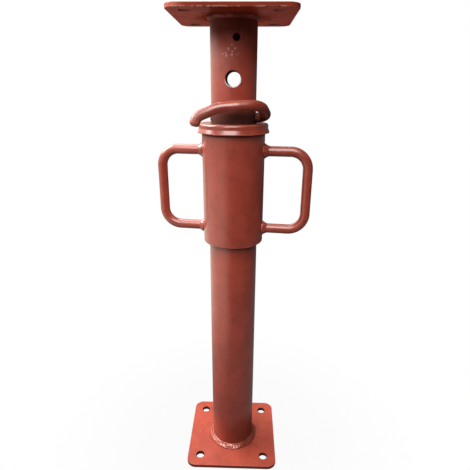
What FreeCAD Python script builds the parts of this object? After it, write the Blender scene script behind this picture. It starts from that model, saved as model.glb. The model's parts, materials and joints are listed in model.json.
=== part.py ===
import FreeCAD, Part
import math
import os

# Adjustable steel prop, closed, standing on its base plate. Sizes are in millimetres and degrees.
# +Z is up, the origin is the middle of the base plate's underside, and -Y is the front.

# Base and head plates
PLATE_SIZE = 120.0
BASE_T = 5.0
HEAD_T = 4.0
PLATE_CORNER_R = 12.0
PLATE_EDGE_R = 0.6
BOLT_HOLE_D = 11.0
BOLT_INSET = 17.0

# Tubes, with the lengths that show when the prop is closed
INNER_OD = 48.0
INNER_WALL = 3.0
INNER_BARE = 99.1
OUTER_WALL = 2.5
OUTER_BARE = 301.0
TUBE_CLEARANCE = 1.5

# Swaged mouth of the outer tube, and the ring that keeps the inner tube in it
MOUTH_LENGTH = 6.0
MOUTH_TAPER = 3.0
MOUTH_CLEARANCE = 0.4
STOP_RING_H = 8.0
STOP_CLEARANCE = 0.4
GUIDE_LENGTH = 60.0
FOOT_GAP = 38.0

# Cross holes for the pin, and the small hole that a paint hook goes through
PIN_HOLE_D = 15.0
HOLE_STEP = 40.0
HOOK_HOLE_D = 7.0
HOOK_HOLE_DROP = 19.0
HOOK_HOLE_TURN = 8.6
HOLE_EDGE_R = 0.7

# Sleeve nut and its thread
SLEEVE_LENGTH = 123.0
SLEEVE_WALL = 4.0
SLEEVE_EDGE_R = 0.8
NUT_RING_H = 25.0
NUT_RING_WALL = 2.15
THREAD_CLEARANCE = 0.3
THREAD_PITCH = 8.0
SCREW_TURNS = 7.5

# Handles: round bars bent to a D, the pair turned about the prop's axis
HANDLE_D = 11.0
HANDLE_REACH = 48.0
HANDLE_INSET_TOP = 19.0
HANDLE_INSET_BOTTOM = 16.0
HANDLE_BEND_R = 19.0
HANDLE_TURN = -7.5

# Thrust collar: a turned ring with a skirt that flares to a lip and a spigot that drops into the sleeve
COLLAR_HEIGHT = 9.6
COLLAR_CLEARANCE = 1.0
COLLAR_RIM_OUT = 3.1
COLLAR_LIP_OUT = 4.4
COLLAR_LIP_H = 0.8
COLLAR_SKIRT_H = 4.6
COLLAR_SHOULDER_R = 2.0
SPIGOT_DEPTH = 4.0
SPIGOT_CLEARANCE = 0.4
SPIGOT_HEADROOM = 3.3

# Pin: a straight shank, a bend at the right, and a leg that crosses the front and hooks down at the left
PIN_D = 10.5
PIN_END_R = 3.6
PIN_SHANK_OUT = 1.0
PIN_BEND_OUT = 12.8
PIN_BEND_R = 10.5
PIN_LEG_GAP = 6.5
PIN_LEG_OUT = 3.8
PIN_LEG_RISE = 14.5
PIN_LEG_R = 18.0
PIN_MID_X = -14.2
PIN_MID_RISE = 11.1
PIN_MID_FORWARD = 2.5
PIN_MID_R = 40.0
PIN_HOOK_OUT = 0.9
PIN_HOOK_RISE = 2.7
PIN_HOOK_BACK = 1.5
PIN_HOOK_R = 10.0
PIN_TIP_GAP = 0.4
PIN_TIP_RUN = 2.0
PIN_TIP_DROP = 6.2

# Fillet welds, and the slack that keeps welded round faces from cutting into each other
BASE_WELD_LEG = 5.5
HEAD_WELD_LEG = 3.0
HANDLE_WELD_LEG = 2.8
HANDLE_WELD_LENGTH = 5.0
WELD_SLACK = 0.05

# Running gap where one moving piece rests on another
REST_GAP = 0.3

# How far a cut reaches past the face that it opens
CUT_OVER = 1.0

# Bolt holes keep their distance from the plate's edges
BOLT_SPACING = PLATE_SIZE - 2 * BOLT_INSET

# Radii that follow from the fits
INNER_R = INNER_OD / 2
OUTER_BORE_R = INNER_R + TUBE_CLEARANCE
OUTER_R = OUTER_BORE_R + OUTER_WALL
NUT_BORE_R = OUTER_R + THREAD_CLEARANCE
NUT_R = NUT_BORE_R + NUT_RING_WALL
SLEEVE_BORE_R = NUT_R + WELD_SLACK
SLEEVE_R = SLEEVE_BORE_R + SLEEVE_WALL
COLLAR_BORE_R = INNER_R + COLLAR_CLEARANCE
COLLAR_RIM_R = SLEEVE_R + COLLAR_RIM_OUT
COLLAR_LIP_R = SLEEVE_R + COLLAR_LIP_OUT
SPIGOT_R = SLEEVE_BORE_R - SPIGOT_CLEARANCE
PIN_R = PIN_D / 2
HANDLE_R = HANDLE_D / 2

# Heights that follow from the stack of pieces
BASE_TOP = BASE_T
SLEEVE_BOTTOM = BASE_TOP + OUTER_BARE
SLEEVE_TOP = SLEEVE_BOTTOM + SLEEVE_LENGTH
COLLAR_BOTTOM = SLEEVE_TOP + REST_GAP
COLLAR_TOP = COLLAR_BOTTOM + COLLAR_HEIGHT
HEAD_UNDER = COLLAR_TOP + INNER_BARE
OUTER_TOP = COLLAR_BOTTOM - SPIGOT_DEPTH - SPIGOT_HEADROOM
MOUTH_BOTTOM = OUTER_TOP - MOUTH_LENGTH
FOOT_BOTTOM = BASE_TOP + FOOT_GAP
STOP_BOTTOM = FOOT_BOTTOM + GUIDE_LENGTH
STOP_TOP = STOP_BOTTOM + STOP_RING_H
PIN_Z = COLLAR_TOP + REST_GAP + PIN_R
PIN_HOLE_Z = PIN_Z + PIN_R + REST_GAP - PIN_HOLE_D / 2

# Travel: the screw lifts the collar, and the inner tube is raised by whole hole steps up to its stop
SCREW_LIFT = SCREW_TURNS * THREAD_PITCH
RAISE_STEPS = int((MOUTH_BOTTOM - MOUTH_TAPER - STOP_TOP - SCREW_LIFT) // HOLE_STEP)

V = FreeCAD.Vector
ORIGIN = V(0, 0, 0)
RIGHT = V(1, 0, 0)
BACK = V(0, 1, 0)
UP = V(0, 0, 1)


def rod(radius, start, end):
    """A solid cylinder between two points."""
    along = end - start
    return Part.makeCylinder(radius, along.Length, start, along)


def ring(outer_r, inner_r, low, high):
    """A plain tube about the prop's axis."""
    bore = rod(inner_r, UP * (low - CUT_OVER), UP * (high + CUT_OVER))
    return rod(outer_r, UP * low, UP * high).cut(bore)


def rounded_corner(before, corner, after, radius):
    """The start, middle and end of the arc that rounds one corner of a path."""
    way_in = (corner - before).normalize()
    way_out = (after - corner).normalize()
    half_turn = way_in.getAngle(way_out) / 2
    setback = radius * math.tan(half_turn)
    inward = (way_out - way_in).normalize()
    middle = corner + inward * (radius / math.cos(half_turn) - radius)
    return corner - way_in * setback, middle, corner + way_out * setback


def bent_path(points, radii):
    """A wire of straight runs joined by tangent arcs, one radius for each inner point."""
    edges = []
    last = points[0]
    for before, corner, after, radius in zip(points, points[1:], points[2:], radii):
        start, middle, end = rounded_corner(before, corner, after, radius)
        edges.append(Part.LineSegment(last, start).toShape())
        edges.append(Part.Arc(start, middle, end).toShape())
        last = end
    edges.append(Part.LineSegment(last, points[-1]).toShape())
    return Part.Wire(edges)


def bent_bar(points, radii, radius):
    """A round bar along a bent path."""
    path = bent_path(points, radii)
    section = Part.Wire([Part.Circle(points[0], points[1] - points[0], radius).toShape()])
    return path.makePipeShell([section], True, False)


def lathe(edges):
    """The solid turned about the prop's axis from a closed outline in the XZ plane."""
    return Part.Face(Part.Wire(edges)).revolve(ORIGIN, UP, 360)


def outline(points):
    """Straight edges of a closed outline given as (radius, height) pairs."""
    corners = [V(r, 0, z) for r, z in points]
    return [Part.LineSegment(a, b).toShape() for a, b in zip(corners, corners[1:] + corners[:1])]


def plate(low, thick):
    """A square plate with rounded corners, eased edges and four bolt holes, its underside at low."""
    half = PLATE_SIZE / 2
    solid = Part.makeBox(PLATE_SIZE, PLATE_SIZE, thick, V(-half, -half, low))
    upright = [e for e in solid.Edges if abs(e.tangentAt(e.FirstParameter).z) > 0.5]
    solid = solid.makeFillet(PLATE_CORNER_R, upright)
    level = [e for e in solid.Edges if abs(e.BoundBox.ZLength) < thick / 2]
    solid = solid.makeFillet(min(PLATE_EDGE_R, thick / 3), level)
    for side_x in (-1, 1):
        for side_y in (-1, 1):
            place = V(side_x * BOLT_SPACING / 2, side_y * BOLT_SPACING / 2, low)
            solid = solid.cut(rod(BOLT_HOLE_D / 2, place - UP * CUT_OVER, place + UP * (thick + CUT_OVER)))
    return solid


def plate_weld(tube_r, plate_z, leg, away):
    """A fillet weld between a tube and a plate; away is +1 where the tube stands on the plate, else -1."""
    inner = tube_r + WELD_SLACK
    return lathe(outline([(inner, plate_z), (inner + leg, plate_z), (inner, plate_z + away * leg)]))


def outer_tube():
    """The lower tube, its mouth swaged in to guide the inner tube."""
    swage = OUTER_BORE_R - INNER_R - MOUTH_CLEARANCE
    return lathe(outline([
        (OUTER_BORE_R, BASE_TOP),
        (OUTER_R, BASE_TOP),
        (OUTER_R, MOUTH_BOTTOM - MOUTH_TAPER),
        (OUTER_R - swage, MOUTH_BOTTOM),
        (OUTER_R - swage, OUTER_TOP),
        (OUTER_BORE_R - swage, OUTER_TOP),
        (OUTER_BORE_R - swage, MOUTH_BOTTOM),
        (OUTER_BORE_R, MOUTH_BOTTOM - MOUTH_TAPER),
    ]))


def inner_tube():
    """The upper tube with pin holes that alternate between the X and the Y direction."""
    solid = ring(INNER_R, INNER_R - INNER_WALL, FOOT_BOTTOM, HEAD_UNDER)
    for step in range(-1, RAISE_STEPS + 1):
        along = RIGHT if step % 2 == 0 else BACK
        middle = UP * (PIN_HOLE_Z - step * HOLE_STEP)
        solid = solid.cut(rod(PIN_HOLE_D / 2, middle - along * INNER_OD, middle + along * INNER_OD))
    turn = math.radians(HOOK_HOLE_TURN)
    middle = UP * (HEAD_UNDER - HOOK_HOLE_DROP)
    outward = V(math.sin(turn), -math.cos(turn), 0)
    solid = solid.cut(rod(HOOK_HOLE_D / 2, middle, middle + outward * INNER_OD))
    rims = [e for e in solid.Edges if not isinstance(e.Curve, (Part.Circle, Part.Line))]
    outside = [e for e in rims if e.CenterOfMass.cross(UP).Length > INNER_R - INNER_WALL / 2]
    return solid.makeFillet(min(HOLE_EDGE_R, INNER_WALL / 3), outside)


def sleeve():
    """The long tube that covers the thread, with eased ends."""
    solid = ring(SLEEVE_R, SLEEVE_BORE_R, SLEEVE_BOTTOM, SLEEVE_TOP)
    circles = [e for e in solid.Edges if isinstance(e.Curve, Part.Circle)]
    rims = [e for e in circles if e.Curve.Radius > SLEEVE_R - SLEEVE_WALL / 2]
    return solid.makeFillet(min(SLEEVE_EDGE_R, SLEEVE_WALL / 3), rims)


def handle_points():
    """The route of a handle's bar on the +X side, from inside the sleeve wall out and back."""
    low = SLEEVE_BOTTOM + HANDLE_INSET_BOTTOM
    high = SLEEVE_TOP - HANDLE_INSET_TOP
    out = SLEEVE_R + HANDLE_REACH
    return [V(SLEEVE_BORE_R, 0, high), V(out, 0, high), V(out, 0, low), V(SLEEVE_BORE_R, 0, low)]


def beside_sleeve(solid):
    """What is left of a solid outside the sleeve, with the weld's slack."""
    return solid.cut(rod(SLEEVE_R + WELD_SLACK, UP * SLEEVE_BOTTOM, UP * SLEEVE_TOP))


def turned(solid, degrees):
    """A copy turned about the prop's axis."""
    copy = solid.copy()
    copy.rotate(ORIGIN, UP, degrees)
    return copy


def handle():
    """A D-shaped handle on the +X side."""
    return beside_sleeve(bent_bar(handle_points(), [HANDLE_BEND_R] * 2, HANDLE_R))


def handle_weld(height):
    """The fillet weld round one end of a handle on the +X side."""
    start = V(SLEEVE_BORE_R, 0, height)
    length = SLEEVE_R + HANDLE_WELD_LENGTH - SLEEVE_BORE_R
    inner = HANDLE_R + WELD_SLACK
    wide = inner + HANDLE_WELD_LEG * length / HANDLE_WELD_LENGTH
    cone = Part.makeCone(wide, inner, length, start, RIGHT)
    bar = rod(inner, start - RIGHT * CUT_OVER, start + RIGHT * (length + CUT_OVER))
    return beside_sleeve(cone.cut(bar))


def thrust_collar():
    """A ring with a rounded shoulder, a skirt that flares to a lip, and a spigot."""
    shoulder = COLLAR_TOP - COLLAR_SHOULDER_R
    diagonal = math.sqrt(0.5)
    bulge_r = COLLAR_RIM_R - COLLAR_SHOULDER_R * (1 - diagonal)
    bulge = V(bulge_r, 0, shoulder + COLLAR_SHOULDER_R * diagonal)
    corners = [V(r, 0, z) for r, z in (
        (COLLAR_RIM_R - COLLAR_SHOULDER_R, COLLAR_TOP),
        (COLLAR_BORE_R, COLLAR_TOP),
        (COLLAR_BORE_R, COLLAR_BOTTOM - SPIGOT_DEPTH),
        (SPIGOT_R, COLLAR_BOTTOM - SPIGOT_DEPTH),
        (SPIGOT_R, COLLAR_BOTTOM),
        (COLLAR_LIP_R, COLLAR_BOTTOM),
        (COLLAR_LIP_R, COLLAR_BOTTOM + COLLAR_LIP_H),
        (COLLAR_RIM_R, COLLAR_BOTTOM + COLLAR_SKIRT_H),
        (COLLAR_RIM_R, shoulder),
    )]
    edges = [Part.LineSegment(a, b).toShape() for a, b in zip(corners, corners[1:])]
    edges.append(Part.Arc(corners[-1], bulge, corners[0]).toShape())
    return lathe(edges)


def lock_pin():
    """The bent bar: shank along X on the collar, leg across the front, tip hooked down beyond the rim."""
    leg_y = -(INNER_R + PIN_LEG_GAP + PIN_R)
    tip_y = -(COLLAR_RIM_R + PIN_TIP_GAP + PIN_R)
    hook_x = -(SLEEVE_R + PIN_HOOK_OUT)
    points = [
        V(-(INNER_R + PIN_SHANK_OUT), 0, PIN_Z),
        V(INNER_R + PIN_BEND_OUT, 0, PIN_Z),
        V(INNER_R + PIN_LEG_OUT, leg_y, PIN_Z + PIN_LEG_RISE),
        V(PIN_MID_X, leg_y - PIN_MID_FORWARD, PIN_Z + PIN_MID_RISE),
        V(hook_x, tip_y + PIN_HOOK_BACK, PIN_Z + PIN_HOOK_RISE),
        V(hook_x - PIN_TIP_RUN, tip_y, PIN_Z - PIN_TIP_DROP),
    ]
    bar = bent_bar(points, [PIN_BEND_R, PIN_LEG_R, PIN_MID_R, PIN_HOOK_R], PIN_R)
    ends = [f for f in bar.Faces if isinstance(f.Surface, Part.Plane)]
    return bar.makeFillet(min(PIN_END_R, PIN_R * 0.7), [e for f in ends for e in f.Edges])


def pieces():
    """Every piece of the prop, by name."""
    named = {
        "base_plate": plate(0, BASE_T),
        "outer_tube": outer_tube(),
        "base_weld": plate_weld(OUTER_R, BASE_TOP, BASE_WELD_LEG, 1),
        "sleeve": sleeve(),
        "nut_ring": ring(NUT_R, NUT_BORE_R, SLEEVE_BOTTOM, SLEEVE_BOTTOM + NUT_RING_H),
        "thrust_collar": thrust_collar(),
        "inner_tube": inner_tube(),
        "stop_ring": ring(OUTER_BORE_R - STOP_CLEARANCE, INNER_R + WELD_SLACK, STOP_BOTTOM, STOP_TOP),
        "head_plate": plate(HEAD_UNDER, HEAD_T),
        "head_weld": plate_weld(INNER_R, HEAD_UNDER, HEAD_WELD_LEG, -1),
        "lock_pin": lock_pin(),
    }
    route = handle_points()
    for side, degrees in (("right", HANDLE_TURN), ("left", HANDLE_TURN + 180)):
        named[f"handle_{side}"] = turned(handle(), degrees)
        for end, point in (("top", route[0]), ("bottom", route[-1])):
            named[f"handle_weld_{side}_{end}"] = turned(handle_weld(point.z), degrees)
    return named


os.makedirs("parts", exist_ok=True)
for node, shape in pieces().items():
    state = "valid" if shape.isValid() else "NOT VALID"
    print(node, len(shape.Solids), "solid", round(shape.Volume / 1000, 2), "cm3", state)
    shape.exportStep(f"parts/{node}.step")
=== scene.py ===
import json
import math
import random

import bmesh
import bpy
from bpy.props import FloatProperty, FloatVectorProperty, IntProperty, PointerProperty
from mathutils import Matrix, Vector, noise


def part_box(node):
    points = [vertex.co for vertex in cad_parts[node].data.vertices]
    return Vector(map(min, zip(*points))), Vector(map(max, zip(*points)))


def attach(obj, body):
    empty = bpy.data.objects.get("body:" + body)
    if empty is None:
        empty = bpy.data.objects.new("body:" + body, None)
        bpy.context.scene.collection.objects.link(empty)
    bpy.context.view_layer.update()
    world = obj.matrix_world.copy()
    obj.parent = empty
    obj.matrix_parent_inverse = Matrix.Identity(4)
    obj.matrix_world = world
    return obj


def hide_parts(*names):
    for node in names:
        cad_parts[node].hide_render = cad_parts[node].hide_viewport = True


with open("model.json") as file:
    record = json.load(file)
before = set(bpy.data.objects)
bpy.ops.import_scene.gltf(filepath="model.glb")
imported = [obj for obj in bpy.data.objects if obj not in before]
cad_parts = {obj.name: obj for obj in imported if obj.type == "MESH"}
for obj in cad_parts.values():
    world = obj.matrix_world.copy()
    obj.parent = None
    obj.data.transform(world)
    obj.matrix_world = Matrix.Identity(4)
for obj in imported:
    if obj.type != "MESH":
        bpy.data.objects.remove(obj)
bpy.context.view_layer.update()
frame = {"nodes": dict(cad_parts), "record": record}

bl_info = {
    "name": "Adjustable Steel Prop",
    "version": (1, 0, 0),
    "blender": (4, 5, 0),
    "location": "3D View > Sidebar > Steel Prop",
    "description": "Red oxide paint, weld beads, thread and studio for a telescopic steel prop",
    "category": "Object",
}

RECORD = frame["record"]
BODY_OF = {node: body for body, nodes in RECORD["behaviour"]["bodies"].items() for node in nodes}


def reach(node):
    """How far a node goes out along +X."""
    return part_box(node)[1].x


def span(node):
    """The lowest and highest Z of a node."""
    low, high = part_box(node)
    return low.z, high.z


def mount_sizes(name):
    """The stated dimensions of one of the prop's mounts."""
    return next(mount["dims"] for mount in RECORD["mounts"] if mount["name"] == name)


# Places that the finish follows, read from the frame
PLATE_HALF = reach("base_plate")
BASE_TOP = span("base_plate")[1]
HEAD_UNDER = span("head_plate")[0]
OUTER_R = reach("outer_tube")
INNER_R = reach("inner_tube")
SLEEVE_R = reach("sleeve")
OUTER_HIGH = span("outer_tube")[1]
NUT_LOW, NUT_HIGH = span("nut_ring")
NUT_R = reach("nut_ring")
SLEEVE_LOW, SLEEVE_HIGH = span("sleeve")
COLLAR_LOW, COLLAR_HIGH = SLEEVE_HIGH, span("thrust_collar")[1]
BOLT_OFFSET = mount_sizes("base_bolts")["spacing_x_mm"] / 2000
BOLT_R = mount_sizes("base_bolts")["hole_r_mm"] / 1000

# Rise of the nut for each radian of its turn
SCREW_TRAVEL = next(pair["ratio"] for pair in RECORD["behaviour"]["couplings"])

# Sizes that the frame does not state
PLATE_CORNER_R = 0.012
PIN_HOLE_R = 0.0075
FRONT_HOLE_Z = 0.4825
HOLE_REPEAT = 0.080
HANDLE_R = 0.0055
OUTER_WALL = 0.0025
MOUTH_LENGTH = 0.006
MOUTH_TAPER = 0.003
MOUTH_SWAGE = 0.0011

# The thread: play between nut and tube, its run-out, and its groove's width and flanks as shares
THREAD_PLAY = 0.0003
THREAD_RUN_OUT = 0.0008
TUBE_RUN_IN = 0.0026
NUT_RUN_IN = 0.004
GROOVE_WIDTH = 0.7
GROOVE_FLANKS = 0.4
THREAD_CORNER = math.radians(40)

# How long the features of the paint's patterns are
CLOUD_SIZE = 0.055
BLOTCH_SIZE = 0.013
SPECK_SIZE = 0.0075
STREAK_SIZE = 0.007
SWELL_SIZE = 0.0065
FLAKE_SIZE = 0.0038
GRAIN_SIZE = 0.0024

# Depth of the paint's relief on plain faces, and on beads and bars
FLAT_RELIEF = 0.00048
LUMPY_RELIEF = 0.0008
COAT_IOR = 1.7

# The weld beads' sections and steps, and how strongly they ripple
BEAD_POINTS = 9
BEAD_HOLLOW = 0.06
PLATE_BEAD_STEPS = 360
HANDLE_BEAD_STEPS = 72
PLATE_RIPPLES = 0.5
HANDLE_RIPPLES = 0.3

# Features of the beads' lumps in each metre, along the run
COARSE_LUMPS = 110
FINE_LUMPS = 320

# Ranges of the spatter's distance from a bead, of its radius and of its flattening
SPATTER_SPREAD = (0.001, 0.014)
SPATTER_RADIUS = (0.0005, 0.0012)
SPATTER_SQUASH = (0.5, 0.8)

# Distances below which points are one point, or lie on a face
MERGE_DISTANCE = 1e-7
ON_FACE = 1e-5

# What the camera sees of the white ground, and what glosses mirror of it
WHITE = (1, 1, 1)
WARM_WHITE = (1.0, 0.96, 0.84)
DIM_GROUND = (0.17, 0.17, 0.17)
DARK_GROUND = (0.04, 0.04, 0.04)
PALE_WAY = (-0.99, 0.14, 0.0)
FLOOR_REACH = 6

# The light panels: azimuth from the front and elevation, in degrees, then distance, width, height,
# and whether glosses mirror the panel
LIGHT_AIM = Vector((0, 0, 0.40))
PANELS = {
    "front": (-10, 48, 1.0, 0.75, 0.85, True),
    "left": (-104, 38, 1.1, 0.85, 0.60, True),
    "back": (-142, 63, 1.3, 0.90, 0.90, True),
    "low": (178, -14, 1.2, 0.40, 0.40, False),
}

# The camera: its turns in degrees, its lens in millimetres
CAMERA_PLACE = (0.01525, -0.46047, 0.47212)
CAMERA_YAW = 1.62
CAMERA_DOWN = 21.80
CAMERA_ROLL = 0.28
SENSOR_WIDTH = 36
FOCAL_LENGTH = 31.22
LENS_SHIFT_Y = 0.0379
CLIP_START = 0.01


def tint(name, description, colour):
    """A colour setting."""
    return FloatVectorProperty(name=name, description=description, subtype="COLOR", min=0, max=1,
                               default=colour)


def length(name, description, metres):
    """A length setting."""
    return FloatProperty(name=name, description=description, subtype="DISTANCE", unit="LENGTH",
                         precision=5, min=0, default=metres)


def share(name, description, value):
    """A setting between 0 and 1."""
    return FloatProperty(name=name, description=description, subtype="FACTOR", min=0, max=1,
                         default=value)


def power(name, description, watts):
    """A setting of a light's power."""
    return FloatProperty(name=name, description=description, unit="POWER", min=0, default=watts)


def count(name, description, least, value):
    """A setting that is a whole number."""
    return IntProperty(name=name, description=description, min=least, default=value)


class SteelPropPaint(bpy.types.PropertyGroup):
    """Colours of the paint and of what shows through or lies on it."""

    coat: tint("Coat", "Red oxide paint at its usual thickness", (0.40, 0.055, 0.028))
    deep: tint("Deep Coat", "Red oxide paint where it is thick or has run", (0.31, 0.038, 0.019))
    thin: tint("Thin Coat", "Red oxide paint where it is thin", (0.50, 0.085, 0.045))
    # Chalk also paints pale highlights on the head plate's front and round the inner tube's pin
    # holes.
    chalk_and_highlight: tint("Chalked Coat", "Paint rubbed pale", (0.62, 0.24, 0.18))
    dust: tint("Dust", "Fine dust on faces that look up", (0.56, 0.15, 0.085))
    # Steel also paints the highlight on the lower rims of the inner tube's pin holes.
    steel: tint("Steel", "Bare steel in chips and on the thread", (0.52, 0.45, 0.41))
    # Grime is also the colour of the painted shade and painted shadows on the prop.
    grime_and_shade: tint("Grime", "Weld smoke and oily dirt", (0.055, 0.022, 0.015))


class SteelPropWelds(bpy.types.PropertyGroup):
    """Sizes of the hand-laid weld beads."""

    ripple_pitch: length("Ripple Pitch", "Distance between the ripples of a bead", 0.0034)
    ripple_depth: length("Ripple Depth", "Height of a bead's ripples", 0.0003)
    lump: length("Lumps", "Unevenness of a bead along its run", 0.0009)
    spatter: count("Spatter", "Beads of spatter beside each plate weld", 0, 16)


class SteelPropThread(bpy.types.PropertyGroup):
    """Sizes of the screw thread on the outer tube and in the nut."""

    pitch: length("Pitch", "Rise of the nut in one turn", 2 * math.pi * SCREW_TRAVEL)
    depth: length("Depth", "Depth of the thread's groove", 0.0012)
    rings: count("Rings", "Mesh rings in each turn of the thread", 8, 22)
    steps: count("Steps", "Mesh steps round the thread", 24, 120)


class SteelPropStage(bpy.types.PropertyGroup):
    """Strength of the studio's lights."""

    front: power("Front", "Panel over the camera", 12.0)
    left: power("Left", "Wide panel at the left", 18.0)
    back: power("Back", "High panel behind", 13.0)
    low: power("Low", "Low panel behind, under the head", 15.0)
    ambient: share("Ambient", "Even light of the room", 0.08)
    floor: tint("Floor", "Pale floor", (0.14, 0.14, 0.14))


class Wire:
    """A number in a node tree: arithmetic on it adds Math nodes."""

    def __init__(self, nodes, socket):
        self.nodes = nodes
        self.socket = socket

    def __add__(self, other):
        return self.nodes.math("ADD", self, other)

    def __sub__(self, other):
        return self.nodes.math("SUBTRACT", self, other)

    def __rsub__(self, other):
        return self.nodes.math("SUBTRACT", other, self)

    def __mul__(self, other):
        return self.nodes.math("MULTIPLY", self, other)

    def __abs__(self):
        return self.nodes.math("ABSOLUTE", self)

    __radd__ = __add__
    __rmul__ = __mul__


class Nodes:
    """A node tree that is written as expressions on Wires."""

    def __init__(self, tree):
        self.tree = tree

    def node(self, kind, inputs, output=0, **settings):
        """Adds any node: its settings first, then the values or links of its sockets."""
        made = self.tree.nodes.new("ShaderNode" + kind)
        for name, value in settings.items():
            setattr(made, name, value)
        for name, value in inputs.items():
            self.feed(made.inputs[name], value)
        return Wire(self, made.outputs[output]) if made.outputs else None

    def feed(self, socket, value):
        """Links a Wire to a socket, or sets the socket's own value."""
        if isinstance(value, Wire):
            self.tree.links.new(value.socket, socket)
        elif socket.type == "RGBA" and len(value) == 3:
            socket.default_value = (*value, 1)
        else:
            socket.default_value = value

    def math(self, operation, *values):
        return self.node("Math", dict(enumerate(values)), operation=operation)

    def vector(self, operation, *values, output="Vector"):
        return self.node("VectorMath", dict(enumerate(values)), output, operation=operation)

    def along(self, direction, way):
        """How far a direction goes along a way, from -1 to 1."""
        return self.vector("DOT_PRODUCT", direction, way, output="Value")

    def mix(self, factor, first, second):
        """A colour between two colours."""
        return self.node("Mix", {0: factor, 6: first, 7: second}, 2, data_type="RGBA")

    def smooth(self, value, low, high):
        """0 at low, 1 at high, with an eased step between them."""
        return self.node("MapRange", {"Value": value, "From Min": low, "From Max": high},
                         interpolation_type="SMOOTHSTEP")

    def largest(self, first, second):
        return self.math("MAXIMUM", first, second)

    def hypot(self, first, second):
        return self.math("SQRT", first * first + second * second)


class PaintNodes(Nodes):
    """The node tree of a material, with the places on the piece that its patterns read."""

    def __init__(self, name):
        self.material = bpy.data.materials.new(name)
        self.material.use_nodes = True
        super().__init__(self.material.node_tree)
        self.shader = self.tree.nodes["Principled BSDF"]
        self.place = self.node("TexCoord", {}, "Object")
        split = self.node("SeparateXYZ", {0: self.place}).socket.node
        self.x, self.y, self.z = (Wire(self, socket) for socket in split.outputs)
        facing = self.node("SeparateXYZ", {0: self.node("TexCoord", {}, "Normal")}).socket.node
        self.up = Wire(self, facing.outputs["Z"])

    def grain(self, size, detail=2.0, stretch=(1, 1, 1), seed=0.0):
        """Noise whose features are about one size long, in metres, stretched along the axes."""
        place = self.place
        if stretch != (1, 1, 1) or seed:
            place = self.node("Mapping", {
                "Vector": place,
                "Scale": tuple(1 / factor for factor in stretch),
                "Location": (seed, seed, seed),
            })
        return self.node("TexNoise", {"Vector": place, "Scale": 1 / size, "Detail": detail}, "Fac")

    def upright(self):
        """1 on faces that stand upright, such as a plate's sides."""
        return self.smooth(abs(self.up), 0.6, 0.1)

    def finish(self, **sockets):
        """Feeds the shader's sockets and returns the material."""
        for name, value in sockets.items():
            self.feed(self.shader.inputs[name.replace("_", " ")], value)
        return self.material

    def bump(self, height, distance):
        inputs = {"Height": height, "Distance": distance, "Strength": 1.0}
        return self.node("Bump", inputs, "Normal")


# The masks of the finish follow; several of them also paint shade, shadows or highlights, as said
# at each. Their ranges are metres from the places above, and the factor at the end of a mask is its
# strength.


def from_bolt_hole(paint):
    """Distance outside the nearest bolt hole's wall."""
    return paint.hypot(abs(paint.x) - BOLT_OFFSET, abs(paint.y) - BOLT_OFFSET) - BOLT_R


def plate_edges(paint):
    """1 along the arrises of the plates' outlines, and round their bolt holes."""
    straight = PLATE_HALF - PLATE_CORNER_R
    over_x = paint.largest(abs(paint.x) - straight, 0)
    over_y = paint.largest(abs(paint.y) - straight, 0)
    outline = paint.smooth(paint.hypot(over_x, over_y),
                           PLATE_CORNER_R - 0.0022, PLATE_CORNER_R - 0.0006)
    inside = paint.math("MINIMUM", abs(paint.z - HEAD_UNDER), abs(paint.z - BASE_TOP))
    arris = outline * paint.smooth(inside, 0.0018, 0.0004)
    return paint.largest(arris, paint.smooth(from_bolt_hole(paint), 0.0016, 0.0002) * 0.7)


def dark_bolt_hole_walls(paint):
    """Darker walls of the bolt holes."""
    return paint.smooth(from_bolt_hole(paint), 0.0006, 0.0001) * 0.92


def base_shade_and_dark_holes(paint):
    """Painted shade on the upright sides of the base plate, and the darker walls of its holes."""
    return paint.largest(dark_bolt_hole_walls(paint), paint.upright() * 0.5)


def head_shade_and_smoke(paint):
    """Darker walls of the head plate's holes, painted shade on its sides except at the left, and
    weld smoke with painted shade round the tube.
    """
    # Painted shade on the upright sides, except at the left corner.
    shaded_sides = paint.upright() * paint.smooth(paint.x, -0.050, -0.038) * 0.4
    outward = paint.hypot(paint.x, paint.y)
    # Weld smoke that also paints shade round the tube, on faces that look down.
    smoke_and_shade = paint.smooth(outward, INNER_R + 0.022, INNER_R + 0.005) * 0.4
    smoke_and_shade = smoke_and_shade * paint.smooth(paint.up, 0.3, -0.3) * (paint.grain(0.016, 4) + 0.4)
    return paint.largest(paint.largest(dark_bolt_hole_walls(paint), shaded_sides), smoke_and_shade)


def head_painted_highlights(paint):
    """Painted highlights: pale dashes along the lower arris of the head plate's front, and a paler
    left front corner.
    """
    # Painted highlight along the lower front arris, broken into dashes.
    arris = paint.smooth(abs(paint.z - HEAD_UNDER - 0.0004), 0.0010, 0.0004)
    front = paint.smooth(paint.y, 0.0012 - PLATE_HALF, 0.0006 - PLATE_HALF)
    broken = paint.smooth(paint.grain(0.0038, 2, seed=1.9), 0.46, 0.54)
    # Painted highlight on the upright faces at the left front corner.
    corner = paint.smooth(paint.x, -0.040, -0.052) * paint.smooth(paint.y, -0.045, -0.052)
    return paint.largest(arris * front * broken * 0.9, corner * paint.upright() * 0.4)


def sleeve_edges(paint):
    """1 at the sleeve's two ends."""
    low = paint.smooth(paint.z, SLEEVE_LOW + 0.004, SLEEVE_LOW)
    return paint.largest(low, paint.smooth(paint.z, SLEEVE_HIGH - 0.004, SLEEVE_HIGH))


def lip_painted_shadow(paint):
    """A painted shadow round the sleeve's head, under the collar's lip."""
    return paint.smooth(paint.z, SLEEVE_HIGH - 0.0030, SLEEVE_HIGH - 0.0010) * 0.45


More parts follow.
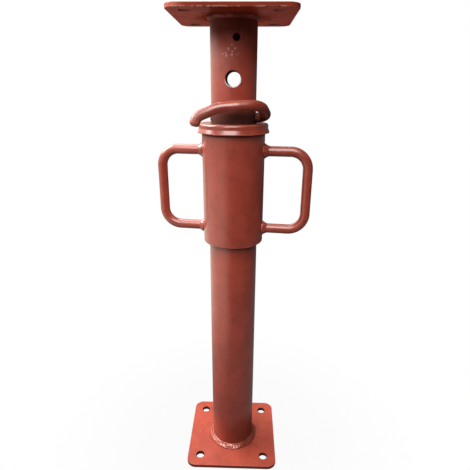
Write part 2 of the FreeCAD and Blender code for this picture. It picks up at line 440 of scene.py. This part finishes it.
def foot_painted_shade(paint):
    """A painted shadow round the outer tube under the sleeve's foot at rest, and painted shade at
    its own foot, darker towards the right.
    """
    shadow_line = paint.smooth(paint.z, SLEEVE_LOW - 0.0034, SLEEVE_LOW - 0.0012) * 0.85
    # Painted shade at the tube's foot, darker towards the right.
    low = paint.smooth(paint.z, BASE_TOP + 0.060, BASE_TOP + 0.012)
    return paint.largest(shadow_line, low * paint.smooth(paint.x, -0.022, 0.012) * 0.55)


def base_weld_painted_shade(paint):
    """Painted shade on the right of the base plate's weld."""
    return paint.smooth(paint.x, 0.003, 0.016) * 0.5


def hole_wear_and_highlight(paint):
    """1 round the pin holes of the inner tube, which look forwards and sideways in turn: rubbed
    bare all round, with a painted highlight on the lower half.
    """
    half = HOLE_REPEAT / 2
    masks = []
    for across, offset in ((paint.x, 0.0), (paint.y, half)):
        start = FRONT_HOLE_Z + offset - half
        along = paint.math("FLOORED_MODULO", paint.z - start, HOLE_REPEAT) - half
        rim = paint.smooth(paint.hypot(across, along), PIN_HOLE_R + 0.0018, PIN_HOLE_R + 0.0002)
        # Heavier below each hole, as a painted highlight.
        masks.append(rim * (paint.smooth(along, 0.004, -0.003) * 0.65 + 0.35))
    below = paint.smooth(paint.z, FRONT_HOLE_Z + 0.020, FRONT_HOLE_Z + 0.012)
    return paint.largest(*masks) * below


def collar_edges(paint):
    """1 on the collar's lip and shoulder."""
    lip = paint.smooth(paint.z, COLLAR_LOW + 0.0032, COLLAR_LOW + 0.001)
    return paint.largest(lip, paint.smooth(paint.z, COLLAR_HIGH - 0.0022, COLLAR_HIGH - 0.0004))


def tube_smoke_and_shade(paint):
    """Weld smoke and the head plate's painted shadow at the inner tube's head, lower at its right,
    and grease with the pin's painted shadow where the collar is.
    """
    patchy = paint.grain(0.018, 4) * 0.7 + 0.45
    # Weld smoke and the head plate's painted shadow, reaching lower at the right.
    smoke_and_shade = paint.smooth(paint.z + paint.x * 0.45, HEAD_UNDER - 0.050, HEAD_UNDER - 0.016) * 0.55
    # Grease and the pin's painted shadow above the collar, fainter deeper inside the sleeve.
    dirt_and_shade = paint.smooth(paint.z, COLLAR_HIGH + 0.020, COLLAR_HIGH + 0.008)
    dirt_and_shade = dirt_and_shade * (paint.smooth(paint.z, COLLAR_LOW - 0.030, COLLAR_LOW) * 0.75 + 0.2)
    return paint.largest(smoke_and_shade * patchy, dirt_and_shade * (patchy * 0.4 + 0.65))


def tube_flecks(paint):
    """Pale flecks in a patch on the front of the inner tube, below the weld smoke."""
    off_middle = paint.hypot(paint.x + 0.003, (paint.z - HEAD_UNDER + 0.031) * 1.5)
    patch = paint.smooth(off_middle, 0.011, 0.006) * paint.smooth(paint.y, 0.0, -0.01)
    spots = paint.node("TexVoronoi", {"Vector": paint.place, "Scale": 1 / 0.0036}, "Distance")
    return patch * paint.smooth(spots, 0.46, 0.26) * 0.8


def weld_smoke_and_shade(paint):
    """Blotchy weld smoke over a bead, which also paints the shade under the head plate."""
    return paint.smooth(paint.grain(0.009, 4, seed=5.3), 0.3, 0.75) * 0.45


def pin_end(paint):
    """A dull patch at the pin's free end."""
    return paint.smooth(paint.x, -0.016, -0.028) * 0.25


def pin_shade_and_dirt(paint):
    """Painted shade on the pin's shank, behind the leg that crosses the front, and less on the
    right part of the bow, with the dull free end, and slightly dirty all over.
    """
    # Painted shade on the right part of the bow, and the dull free end.
    bend = paint.largest(paint.smooth(paint.x, 0.002, 0.009) * 0.3, pin_end(paint))
    # Painted shade on the shank behind the front leg.
    dirt_and_shade = paint.largest(paint.smooth(paint.y, -0.022, -0.010), bend)
    return (dirt_and_shade * 0.92 + 0.08) * (paint.grain(0.012, 4) * 0.4 + 0.6)


def thread_zone(paint):
    """1 where the outer tube is threaded and not painted."""
    return paint.smooth(paint.z, NUT_LOW - 0.0006, NUT_LOW + 0.0004)


def red_oxide(name, edges=None, grime_and_shade=None, flecks_and_highlights=None, bare=None, roughness=0.38, gloss=1.0,
              film=0.26, sheen=0.3, chips=0.5, dust=0.3, relief=FLAT_RELIEF):
    """Red oxide paint on steel: mottled, run, dusty on top, rubbed pale and chipped at the edges.

    edges, grime, flecks and bare are masks of the rubbed, dirty, flecked and unpainted places; the
    mask of dirty places also paints shade and shadows, and the masks of rubbed and flecked places
    also paint some highlights. gloss is the weight of the paint's clear film, film its roughness
    and sheen the gloss under it. chips and dust say how much of each there is, and relief how deep
    the lumps are.
    """
    colours = bpy.context.scene.steel_prop_paint
    paint = PaintNodes(name)
    cloud = paint.grain(CLOUD_SIZE, 3)
    blotch = paint.grain(BLOTCH_SIZE, 4)
    grain = paint.grain(GRAIN_SIZE, 2)
    streak = paint.grain(STREAK_SIZE, 3, stretch=(1, 1, 14))
    flake = paint.grain(FLAKE_SIZE, 3, seed=3.7)
    speck = paint.grain(SPECK_SIZE, 3, seed=6.4)

    mottle = paint.smooth(cloud * 0.6 + blotch * 0.4, 0.36, 0.64)
    colour = paint.mix(mottle, colours.deep, colours.coat)
    colour = paint.mix(paint.smooth(grain, 0.6, 0.8) * 0.35, colour, colours.thin)
    colour = paint.mix(paint.smooth(streak, 0.55, 0.8) * 0.3, colour, colours.deep)
    colour = paint.mix(paint.smooth(speck, 0.62, 0.72) * 0.28, colour, colours.grime_and_shade)
    dusty = paint.smooth(paint.up, 0.3, 0.95) * (blotch * 0.8 + 0.6) * dust
    colour = paint.mix(dusty, colour, colours.dust)
    height = paint.grain(SWELL_SIZE, 2) * 0.6 + grain * 0.25 + streak * 0.35
    rough = (blotch - 0.5) * 0.16 + dusty * 0.2 + roughness
    if edges:
        # The edge mask also paints a highlight on the lower rims of the inner tube's pin holes.
        worn_and_lit = edges(paint)
        rubbed = paint.smooth(worn_and_lit * 0.5 + blotch * 0.6, 0.5, 0.95) * 0.6 * chips
        colour = paint.mix(rubbed, colour, colours.chalk_and_highlight)
        chip = paint.smooth(worn_and_lit * 0.3 * chips + flake * 0.75, 0.60, 0.63)
    else:
        chip = paint.smooth(flake * 0.7 + cloud * 0.3, 0.80 - 0.1 * chips, 0.82 - 0.1 * chips)
    colour = paint.mix(chip, colour, colours.steel)
    metal = chip * 0.4
    shine = (1 - chip) * gloss
    # The fleck mask also paints highlights on the head plate's front.
    if flecks_and_highlights:
        colour = paint.mix(flecks_and_highlights(paint), colour, colours.chalk_and_highlight)
    # The mask of dirty places also paints shade and shadows: darker, rougher and without the clear
    # film there.
    if grime_and_shade:
        dirt_and_shade = grime_and_shade(paint)
        colour = paint.mix(dirt_and_shade, colour, colours.grime_and_shade)
        rough = dirt_and_shade * 0.55 + rough
        metal = metal * (1 - dirt_and_shade)
        shine = shine * paint.smooth(dirt_and_shade, 0.4, 0.0)
    if bare:
        shows = bare(paint)
        oil = paint.smooth(blotch, 0.35, 0.7) * 0.75
        colour = paint.mix(shows, colour, paint.mix(oil, colours.steel, colours.grime_and_shade))
        metal = paint.largest(metal, shows * 0.85)
        shine = shine * (1 - shows)
    return paint.finish(
        Base_Color=colour, Roughness=rough, Metallic=metal, Specular_IOR_Level=sheen,
        Coat_Weight=shine, Coat_Roughness=film, Coat_IOR=COAT_IOR,
        Normal=paint.bump(height - chip * 0.8, relief))


def bare_steel(name):
    """Oiled machined steel."""
    colours = bpy.context.scene.steel_prop_paint
    steel = PaintNodes(name)
    film = steel.grain(0.012, 4)
    turned = steel.grain(0.0006, 2, stretch=(8, 8, 1))
    colour = steel.mix(steel.smooth(film, 0.5, 0.75) * 0.7, colours.steel, colours.grime_and_shade)
    return steel.finish(Base_Color=colour, Metallic=0.9, Roughness=film * 0.3 + 0.2,
                        Normal=steel.bump(turned, 0.00008))


def coat_node(node, material):
    """Gives a carried-over node its finish."""
    slots = frame["nodes"][node].data.materials
    slots.clear()
    slots.append(material)


def new_piece(name, bm, node, material, corner=math.pi):
    """Makes a mesh object that stands for a node, with edges sharp beyond a corner's angle."""
    bmesh.ops.remove_doubles(bm, verts=bm.verts, dist=MERGE_DISTANCE)
    bmesh.ops.recalc_face_normals(bm, faces=bm.faces)
    mesh = bpy.data.meshes.new(name)
    bm.to_mesh(mesh)
    bm.free()
    mesh.shade_smooth()
    mesh.set_sharp_from_angle(angle=corner)
    mesh.materials.append(material)
    piece = bpy.data.objects.new(name, mesh)
    bpy.context.scene.collection.objects.link(piece)
    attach(piece, BODY_OF[node])
    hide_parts(node)


def bead_section(bm, corner, out, up):
    """A closed fillet section: the root corner and a slightly hollow face between two legs."""
    ring = [bm.verts.new(corner)]
    for step in range(BEAD_POINTS):
        angle = math.pi / 2 * step / (BEAD_POINTS - 1)
        flat = math.cos(angle) + math.sin(angle)
        face = (1 - BEAD_HOLLOW * math.sin(2 * angle)) / flat
        ring.append(bm.verts.new(corner + face * (math.cos(angle) * out + math.sin(angle) * up)))
    edges = [bm.edges.new(pair) for pair in zip(ring, ring[1:] + ring[:1])]
    return ring + edges


def full_spin(bm, geometry, centre, axis, steps):
    """Spins a section once round an axis and joins the ends."""
    bmesh.ops.spin(bm, geom=geometry, cent=centre, axis=axis, angle=2 * math.pi, steps=steps,
                   use_merge=True)


def ripple(run, across, welds, seed, ripples):
    """Height of a bead's surface, from the distance along its run and the share across it."""
    wave = math.sin(math.pi * (run / welds.ripple_pitch + 0.6 * (across - 0.5) ** 2))
    coarse = noise.noise(Vector((run * COARSE_LUMPS, across * 1.5, seed)))
    fine = noise.noise(Vector((run * FINE_LUMPS, across * 3, seed)))
    rippled = welds.ripple_depth * ripples * (1 - 2 * abs(wave))
    return rippled + welds.lump * (coarse + 0.5 * ripples * fine)


def plate_weld_bead(node, tube_r, plate_z, away, seed):
    """The bead round a tube where it meets a plate."""
    welds = bpy.context.scene.steel_prop_welds
    leg = reach(node) - tube_r
    corner = Vector((tube_r, 0, plate_z))
    bm = bmesh.new()
    section = bead_section(bm, corner, Vector((leg, 0, 0)), Vector((0, 0, away * leg)))
    full_spin(bm, section, (0, 0, 0), (0, 0, 1), PLATE_BEAD_STEPS)
    for vert in bm.verts:
        radius = vert.co.to_2d().length
        outward = Vector((vert.co.x, vert.co.y, 0)) / radius
        offset = (radius - tube_r) * outward + Vector((0, 0, vert.co.z - plate_z))
        if offset.length < leg / 4:
            continue
        run = (math.atan2(vert.co.y, vert.co.x) + math.pi) * tube_r
        across = math.atan2(abs(offset.z), radius - tube_r) / (math.pi / 2)
        free = math.sin(math.pi * min(max(across, 0.04), 0.96))
        push = ripple(run, across, welds, seed, PLATE_RIPPLES) * (0.2 + 0.8 * free)
        vert.co += offset.normalized() * push
        vert.co.z = max(vert.co.z, plate_z) if away > 0 else min(vert.co.z, plate_z)
    return bm


def add_spatter(bm, around_r, plate_z, rng):
    """One flattened bead of spatter on a plate, outside a radius."""
    angle = rng.uniform(0, 2 * math.pi)
    radius = around_r + rng.uniform(*SPATTER_SPREAD)
    place = Vector((radius * math.cos(angle), radius * math.sin(angle), plate_z))
    size = rng.uniform(*SPATTER_RADIUS)
    squash = Matrix.Diagonal((1, 1, rng.uniform(*SPATTER_SQUASH), 1))
    bmesh.ops.create_icosphere(bm, subdivisions=2, radius=size,
                               matrix=Matrix.Translation(place) @ squash)


def handle_weld_bead(node, seed):
    """The bead round a handle's end where it meets the sleeve."""
    welds = bpy.context.scene.steel_prop_welds
    points = [vert.co for vert in frame["nodes"][node].data.vertices]
    middle = sum(points, Vector()) / len(points)
    turn = math.atan2(middle.y, middle.x)
    low, high = span(node)
    bar_z = (low + high) / 2
    leg_up = (high - low) / 2 - HANDLE_R
    leg_out = max(point.to_2d().length for point in points) - SLEEVE_R
    bm = bmesh.new()
    corner = Vector((SLEEVE_R, 0, bar_z + HANDLE_R))
    section = bead_section(bm, corner, Vector((leg_out, 0, 0)), Vector((0, 0, leg_up)))
    full_spin(bm, section, (0, 0, bar_z), (1, 0, 0), HANDLE_BEAD_STEPS)
    for vert in bm.verts:
        around = Vector((0, vert.co.y, vert.co.z - bar_z))
        rise = around.length - HANDLE_R
        offset = Vector((vert.co.x - SLEEVE_R, 0, 0)) + around.normalized() * rise
        if offset.length > leg_up / 4:
            run = (math.atan2(around.z, around.y) + math.pi) * HANDLE_R * 1.5
            across = math.atan2(rise, vert.co.x - SLEEVE_R) / (math.pi / 2)
            push = ripple(run, across, welds, seed, HANDLE_RIPPLES)
            vert.co += offset.normalized() * push
        vert.co.x += math.sqrt(SLEEVE_R ** 2 - vert.co.y ** 2) - SLEEVE_R
    bmesh.ops.rotate(bm, verts=bm.verts, cent=(0, 0, 0), matrix=Matrix.Rotation(turn, 3, "Z"))
    return bm


def spun_ring(corners, thread_high, thread_low, thread):
    """A ring spun from a section whose last side, back to its first corner, can take a thread."""
    bm = bmesh.new()
    section = [bm.verts.new((radius, 0, height)) for radius, height in corners]
    edges = [bm.edges.new(pair) for pair in zip(section, section[1:] + section[:1])]
    rings = math.ceil((thread_high - thread_low) / thread.pitch * thread.rings)
    bmesh.ops.subdivide_edges(bm, edges=edges[-1:], cuts=rings)
    full_spin(bm, bm.verts[:] + bm.edges[:], (0, 0, 0), (0, 0, 1), thread.steps)
    return bm


def eased(share_along):
    """A smooth step from 0 to 1."""
    share_along = min(max(share_along, 0), 1)
    return share_along * share_along * (3 - 2 * share_along)


def cut_thread(bm, radius, low, high, run_in, thread):
    """Presses a right-hand groove into the face at a radius, easing it in and out."""
    for vert in bm.verts:
        if abs(vert.co.to_2d().length - radius) > ON_FACE:
            continue
        turn = vert.co.z / thread.pitch - math.atan2(vert.co.y, vert.co.x) / (2 * math.pi)
        groove = eased((GROOVE_WIDTH - abs(2 * (turn % 1) - 1)) / GROOVE_FLANKS)
        ends = eased(min(vert.co.z - low, high - vert.co.z) / run_in)
        scale = 1 - thread.depth * groove * ends / radius
        vert.co.x *= scale
        vert.co.y *= scale


def threaded_tube():
    """The outer tube with the thread that the sleeve hides, and its swaged mouth."""
    thread = bpy.context.scene.steel_prop_thread
    bore = OUTER_R - OUTER_WALL
    mouth = OUTER_HIGH - MOUTH_LENGTH
    high, low = mouth - MOUTH_TAPER, NUT_LOW - THREAD_RUN_OUT
    bm = spun_ring((
        (OUTER_R, high), (OUTER_R - MOUTH_SWAGE, mouth), (OUTER_R - MOUTH_SWAGE, OUTER_HIGH),
        (bore - MOUTH_SWAGE, OUTER_HIGH), (bore - MOUTH_SWAGE, mouth), (bore, high),
        (bore, BASE_TOP), (OUTER_R, BASE_TOP), (OUTER_R, low),
    ), high, low, thread)
    cut_thread(bm, OUTER_R, low, high, TUBE_RUN_IN, thread)
    return bm


def threaded_nut():
    """The ring inside the sleeve's foot, with ridges that run in the tube's groove."""
    thread = bpy.context.scene.steel_prop_thread
    bore = OUTER_R + THREAD_PLAY
    corners = ((bore, NUT_HIGH), (NUT_R, NUT_HIGH), (NUT_R, NUT_LOW), (bore, NUT_LOW))
    bm = spun_ring(corners, NUT_HIGH, NUT_LOW, thread)
    cut_thread(bm, bore, NUT_LOW + 0.002, NUT_HIGH - 0.001, NUT_RUN_IN, thread)
    return bm


class STEELPROP_OT_plates(bpy.types.Operator):
    """Paint the base plate and the head plate"""

    bl_idname = "steelprop.plates"
    bl_label = "Plates"

    def execute(self, context):
        coat_node("base_plate", red_oxide(
            "base_plate_paint", plate_edges, base_shade_and_dark_holes,
            roughness=0.6, gloss=0.15, film=0.5, chips=0.25, dust=0.08))
        coat_node("head_plate", red_oxide(
            "head_plate_paint", plate_edges, head_shade_and_smoke, head_painted_highlights,
            roughness=0.6, gloss=0.2, sheen=0.0, chips=0.2, dust=0.2))
        return {"FINISHED"}


class STEELPROP_OT_tubes(bpy.types.Operator):
    """Thread the outer tube, and paint it, the inner tube and the stop ring"""

    bl_idname = "steelprop.tubes"
    bl_label = "Tubes"

    def execute(self, context):
        paint = red_oxide("outer_tube_paint", grime_and_shade=foot_painted_shade, bare=thread_zone)
        new_piece("outer_tube_threaded", threaded_tube(), "outer_tube", paint, THREAD_CORNER)
        coat_node("inner_tube", red_oxide(
            "inner_tube_paint", hole_wear_and_highlight, tube_smoke_and_shade, tube_flecks, gloss=0.85, chips=1.4))
        coat_node("stop_ring", bare_steel("stop_ring_steel"))
        return {"FINISHED"}


class STEELPROP_OT_sleeve_nut(bpy.types.Operator):
    """Paint the sleeve and thread the ring inside it"""

    bl_idname = "steelprop.sleeve_nut"
    bl_label = "Sleeve Nut"

    def execute(self, context):
        coat_node("sleeve", red_oxide("sleeve_paint", sleeve_edges, lip_painted_shadow, chips=0.3))
        steel = bare_steel("nut_ring_steel")
        new_piece("nut_ring_threaded", threaded_nut(), "nut_ring", steel, THREAD_CORNER)
        return {"FINISHED"}


class STEELPROP_OT_handles(bpy.types.Operator):
    """Paint the two bar handles"""

    bl_idname = "steelprop.handles"
    bl_label = "Handles"

    def execute(self, context):
        paint = red_oxide(
            "handle_paint", roughness=0.32, gloss=0.9, film=0.3, chips=0.2, relief=LUMPY_RELIEF)
        for node in ("handle_left", "handle_right"):
            coat_node(node, paint)
        return {"FINISHED"}


class STEELPROP_OT_collar(bpy.types.Operator):
    """Paint the thrust collar"""

    bl_idname = "steelprop.collar"
    bl_label = "Thrust Collar"

    def execute(self, context):
        coat_node("thrust_collar", red_oxide(
            "collar_paint", collar_edges, roughness=0.3, film=0.25, chips=0.3))
        return {"FINISHED"}


class STEELPROP_OT_pin(bpy.types.Operator):
    """Paint the bent pin"""

    bl_idname = "steelprop.pin"
    bl_label = "Pin"

    def execute(self, context):
        coat_node("lock_pin", red_oxide(
            "pin_paint", grime_and_shade=pin_shade_and_dirt, flecks_and_highlights=pin_end, roughness=0.32, film=0.2, chips=0.4))
        return {"FINISHED"}


class STEELPROP_OT_plate_welds(bpy.types.Operator):
    """Lay the weld beads between the tubes and the plates, with their spatter"""

    bl_idname = "steelprop.plate_welds"
    bl_label = "Plate Welds"

    def execute(self, context):
        glossy = red_oxide("base_weld_paint", grime_and_shade=base_weld_painted_shade,
                           roughness=0.24, film=0.2, chips=0.3, relief=LUMPY_RELIEF)
        # The head weld's smoke also paints the shade under the head plate.
        smoked_and_shaded = red_oxide("head_weld_paint", grime_and_shade=weld_smoke_and_shade,
                           roughness=0.5, gloss=0.25, chips=0.2, relief=LUMPY_RELIEF)
        for node, tube_r, plate_z, away, seed, paint in (
            ("base_weld", OUTER_R, BASE_TOP, 1, 2.0, glossy),
            ("head_weld", INNER_R, HEAD_UNDER, -1, 7.0, smoked_and_shaded),
        ):
            bm = plate_weld_bead(node, tube_r, plate_z, away, seed)
            rng = random.Random(seed)
            for _ in range(context.scene.steel_prop_welds.spatter):
                add_spatter(bm, reach(node), plate_z, rng)
            new_piece(f"{node}_bead", bm, node, paint)
        return {"FINISHED"}


class STEELPROP_OT_handle_welds(bpy.types.Operator):
    """Lay the four weld beads that hold the handles to the sleeve"""

    bl_idname = "steelprop.handle_welds"
    bl_label = "Handle Welds"

    def execute(self, context):
        paint = red_oxide(
            "handle_weld_paint", roughness=0.3, gloss=0.8, chips=0.2, relief=LUMPY_RELIEF)
        nodes = sorted(node for node in BODY_OF if node.startswith("handle_weld"))
        for seed, node in enumerate(nodes):
            new_piece(f"{node}_bead", handle_weld_bead(node, 11.0 + seed), node, paint)
        return {"FINISHED"}


class STEELPROP_OT_stage(bpy.types.Operator):
    """Set up the floor, the lights and the camera"""

    bl_idname = "steelprop.stage"
    bl_label = "Stage"

    def execute(self, context):
        scene = context.scene
        scene.view_settings.view_transform = "Standard"
        stage = scene.steel_prop_stage
        self.floor(scene, stage)
        self.surroundings(scene, stage)
        for name, placing in PANELS.items():
            self.panel(scene, f"{name}_light", getattr(stage, name), *placing)
        self.camera(scene)
        return {"FINISHED"}

    def rays(self, nodes):
        """1 for the rays of the camera, of glosses and through clear surfaces, in turn."""
        rays = nodes.node("LightPath", {}).socket.node.outputs
        names = ("Is Camera Ray", "Is Glossy Ray", "Is Transmission Ray")
        return [Wire(nodes, rays[name]) for name in names]

    def floor(self, scene, stage):
        """A plain floor that goes far past the camera's view."""
        bm = bmesh.new()
        bmesh.ops.create_grid(bm, x_segments=1, y_segments=1, size=FLOOR_REACH)
        mesh = bpy.data.meshes.new("floor")
        bm.to_mesh(mesh)
        bm.free()
        floor = bpy.data.objects.new("floor", mesh)
        scene.collection.objects.link(floor)
        mesh.materials.append(self.floor_white(stage))

    def floor_white(self, stage):
        """White to the camera with a soft shadow near the prop, and pale on one side to glosses."""
        material = bpy.data.materials.new("floor_white")
        material.use_nodes = True
        material.node_tree.nodes.clear()
        nodes = Nodes(material.node_tree)
        camera, glossy, through = self.rays(nodes)
        place = nodes.node("TexCoord", {}, "Object")
        distance = nodes.vector("LENGTH", place, output="Value")
        far = nodes.smooth(distance, 0.08, 0.30)
        within = nodes.smooth(distance, 3.0, 2.2)
        near = nodes.smooth(distance, 0.1, 0.6) * within
        middle = nodes.smooth(distance, 0.45, 1.2) * within
        mirrored = self.pale_side(nodes, nodes.vector("NORMALIZE", place)) * near
        dim = nodes.mix(middle, DIM_GROUND, DARK_GROUND)
        shade = nodes.mix(glossy, WHITE, nodes.mix(mirrored, dim, WARM_WHITE))
        white = nodes.largest(nodes.largest(camera, through) * (far * 0.05 + 0.95), glossy)
        matte = nodes.node("BsdfDiffuse", {"Color": stage.floor})
        glow = nodes.node("Emission", {"Color": shade, "Strength": 1.0})
        surface = nodes.node("MixShader", {0: white, 1: matte, 2: glow})
        nodes.node("OutputMaterial", {"Surface": surface})
        return material

    def pale_side(self, nodes, direction):
        """1 towards the left, where the paint mirrors the white ground, and 0 at the right."""
        return nodes.smooth(nodes.along(direction, PALE_WAY), -0.05, 0.6)

    def surroundings(self, scene, stage):
        """A white ground behind the prop, mirrored only on its pale side, in a dim even room."""
        world = bpy.data.worlds.new("studio")
        scene.world = world
        world.use_nodes = True
        nodes = Nodes(world.node_tree)
        camera, glossy, through = self.rays(nodes)
        direction = nodes.node("TexCoord", {}, "Generated")
        level = nodes.smooth(nodes.along(direction, (0, 0, 1)), 0.95, 0.6)
        mirrored = self.pale_side(nodes, direction) * level
        white = nodes.largest(nodes.largest(camera, through), glossy * mirrored)
        background = world.node_tree.nodes["Background"]
        nodes.feed(background.inputs["Color"], nodes.mix(glossy, WHITE, WARM_WHITE))
        nodes.feed(background.inputs["Strength"], white * (1 - stage.ambient) + stage.ambient)

    def panel(self, scene, name, watts, azimuth, elevation, distance, wide, high, mirrored):
        """An area light that looks at the prop from an azimuth and an elevation."""
        light = bpy.data.lights.new(name, "AREA")
        light.shape = "RECTANGLE"
        light.size = wide
        light.size_y = high
        light.energy = watts
        panel = bpy.data.objects.new(name, light)
        scene.collection.objects.link(panel)
        turn = Matrix.Rotation(math.radians(azimuth), 4, "Z")
        turn = turn @ Matrix.Rotation(math.radians(90 - elevation), 4, "X")
        back_off = Matrix.Translation((0, 0, distance))
        panel.matrix_world = Matrix.Translation(LIGHT_AIM) @ turn @ back_off
        panel.visible_camera = False
        panel.visible_glossy = mirrored

    def camera(self, scene):
        """The camera at the photograph's viewing angle."""
        lens = bpy.data.cameras.new("camera")
        lens.sensor_width = SENSOR_WIDTH
        lens.lens = FOCAL_LENGTH
        lens.shift_y = LENS_SHIFT_Y
        lens.clip_start = CLIP_START
        camera = bpy.data.objects.new("camera", lens)
        scene.collection.objects.link(camera)
        yaw = Matrix.Rotation(math.radians(CAMERA_YAW), 4, "Z")
        pitch = Matrix.Rotation(math.radians(90 - CAMERA_DOWN), 4, "X")
        roll = Matrix.Rotation(math.radians(CAMERA_ROLL), 4, "Z")
        camera.matrix_world = Matrix.Translation(CAMERA_PLACE) @ yaw @ pitch @ roll
        scene.camera = camera


STEPS = (
    STEELPROP_OT_plates,
    STEELPROP_OT_tubes,
    STEELPROP_OT_sleeve_nut,
    STEELPROP_OT_handles,
    STEELPROP_OT_collar,
    STEELPROP_OT_pin,
    STEELPROP_OT_plate_welds,
    STEELPROP_OT_handle_welds,
    STEELPROP_OT_stage,
)
SETTINGS = {
    "steel_prop_paint": SteelPropPaint,
    "steel_prop_welds": SteelPropWelds,
    "steel_prop_thread": SteelPropThread,
    "steel_prop_stage": SteelPropStage,
}


class STEELPROP_PT_steps(bpy.types.Panel):
    """The prop's settings and building steps"""

    bl_label = "Steel Prop"
    bl_space_type = "VIEW_3D"
    bl_region_type = "UI"
    bl_category = "Steel Prop"

    def draw(self, context):
        for name, group in SETTINGS.items():
            box = self.layout.box()
            for setting in group.__annotations__:
                box.prop(getattr(context.scene, name), setting)
        for step in STEPS:
            self.layout.operator(step.bl_idname)


CLASSES = (*SETTINGS.values(), *STEPS, STEELPROP_PT_steps)


def register():
    for cls in CLASSES:
        bpy.utils.register_class(cls)
    for name, group in SETTINGS.items():
        setattr(bpy.types.Scene, name, PointerProperty(type=group))


def unregister():
    for name in SETTINGS:
        delattr(bpy.types.Scene, name)
    for cls in reversed(CLASSES):
        bpy.utils.unregister_class(cls)


def main():
    """Builds the whole prop."""
    register()
    for step in STEPS:
        getattr(bpy.ops.steelprop, step.bl_idname.split(".")[1])()


if __name__ == "__main__":
    main()
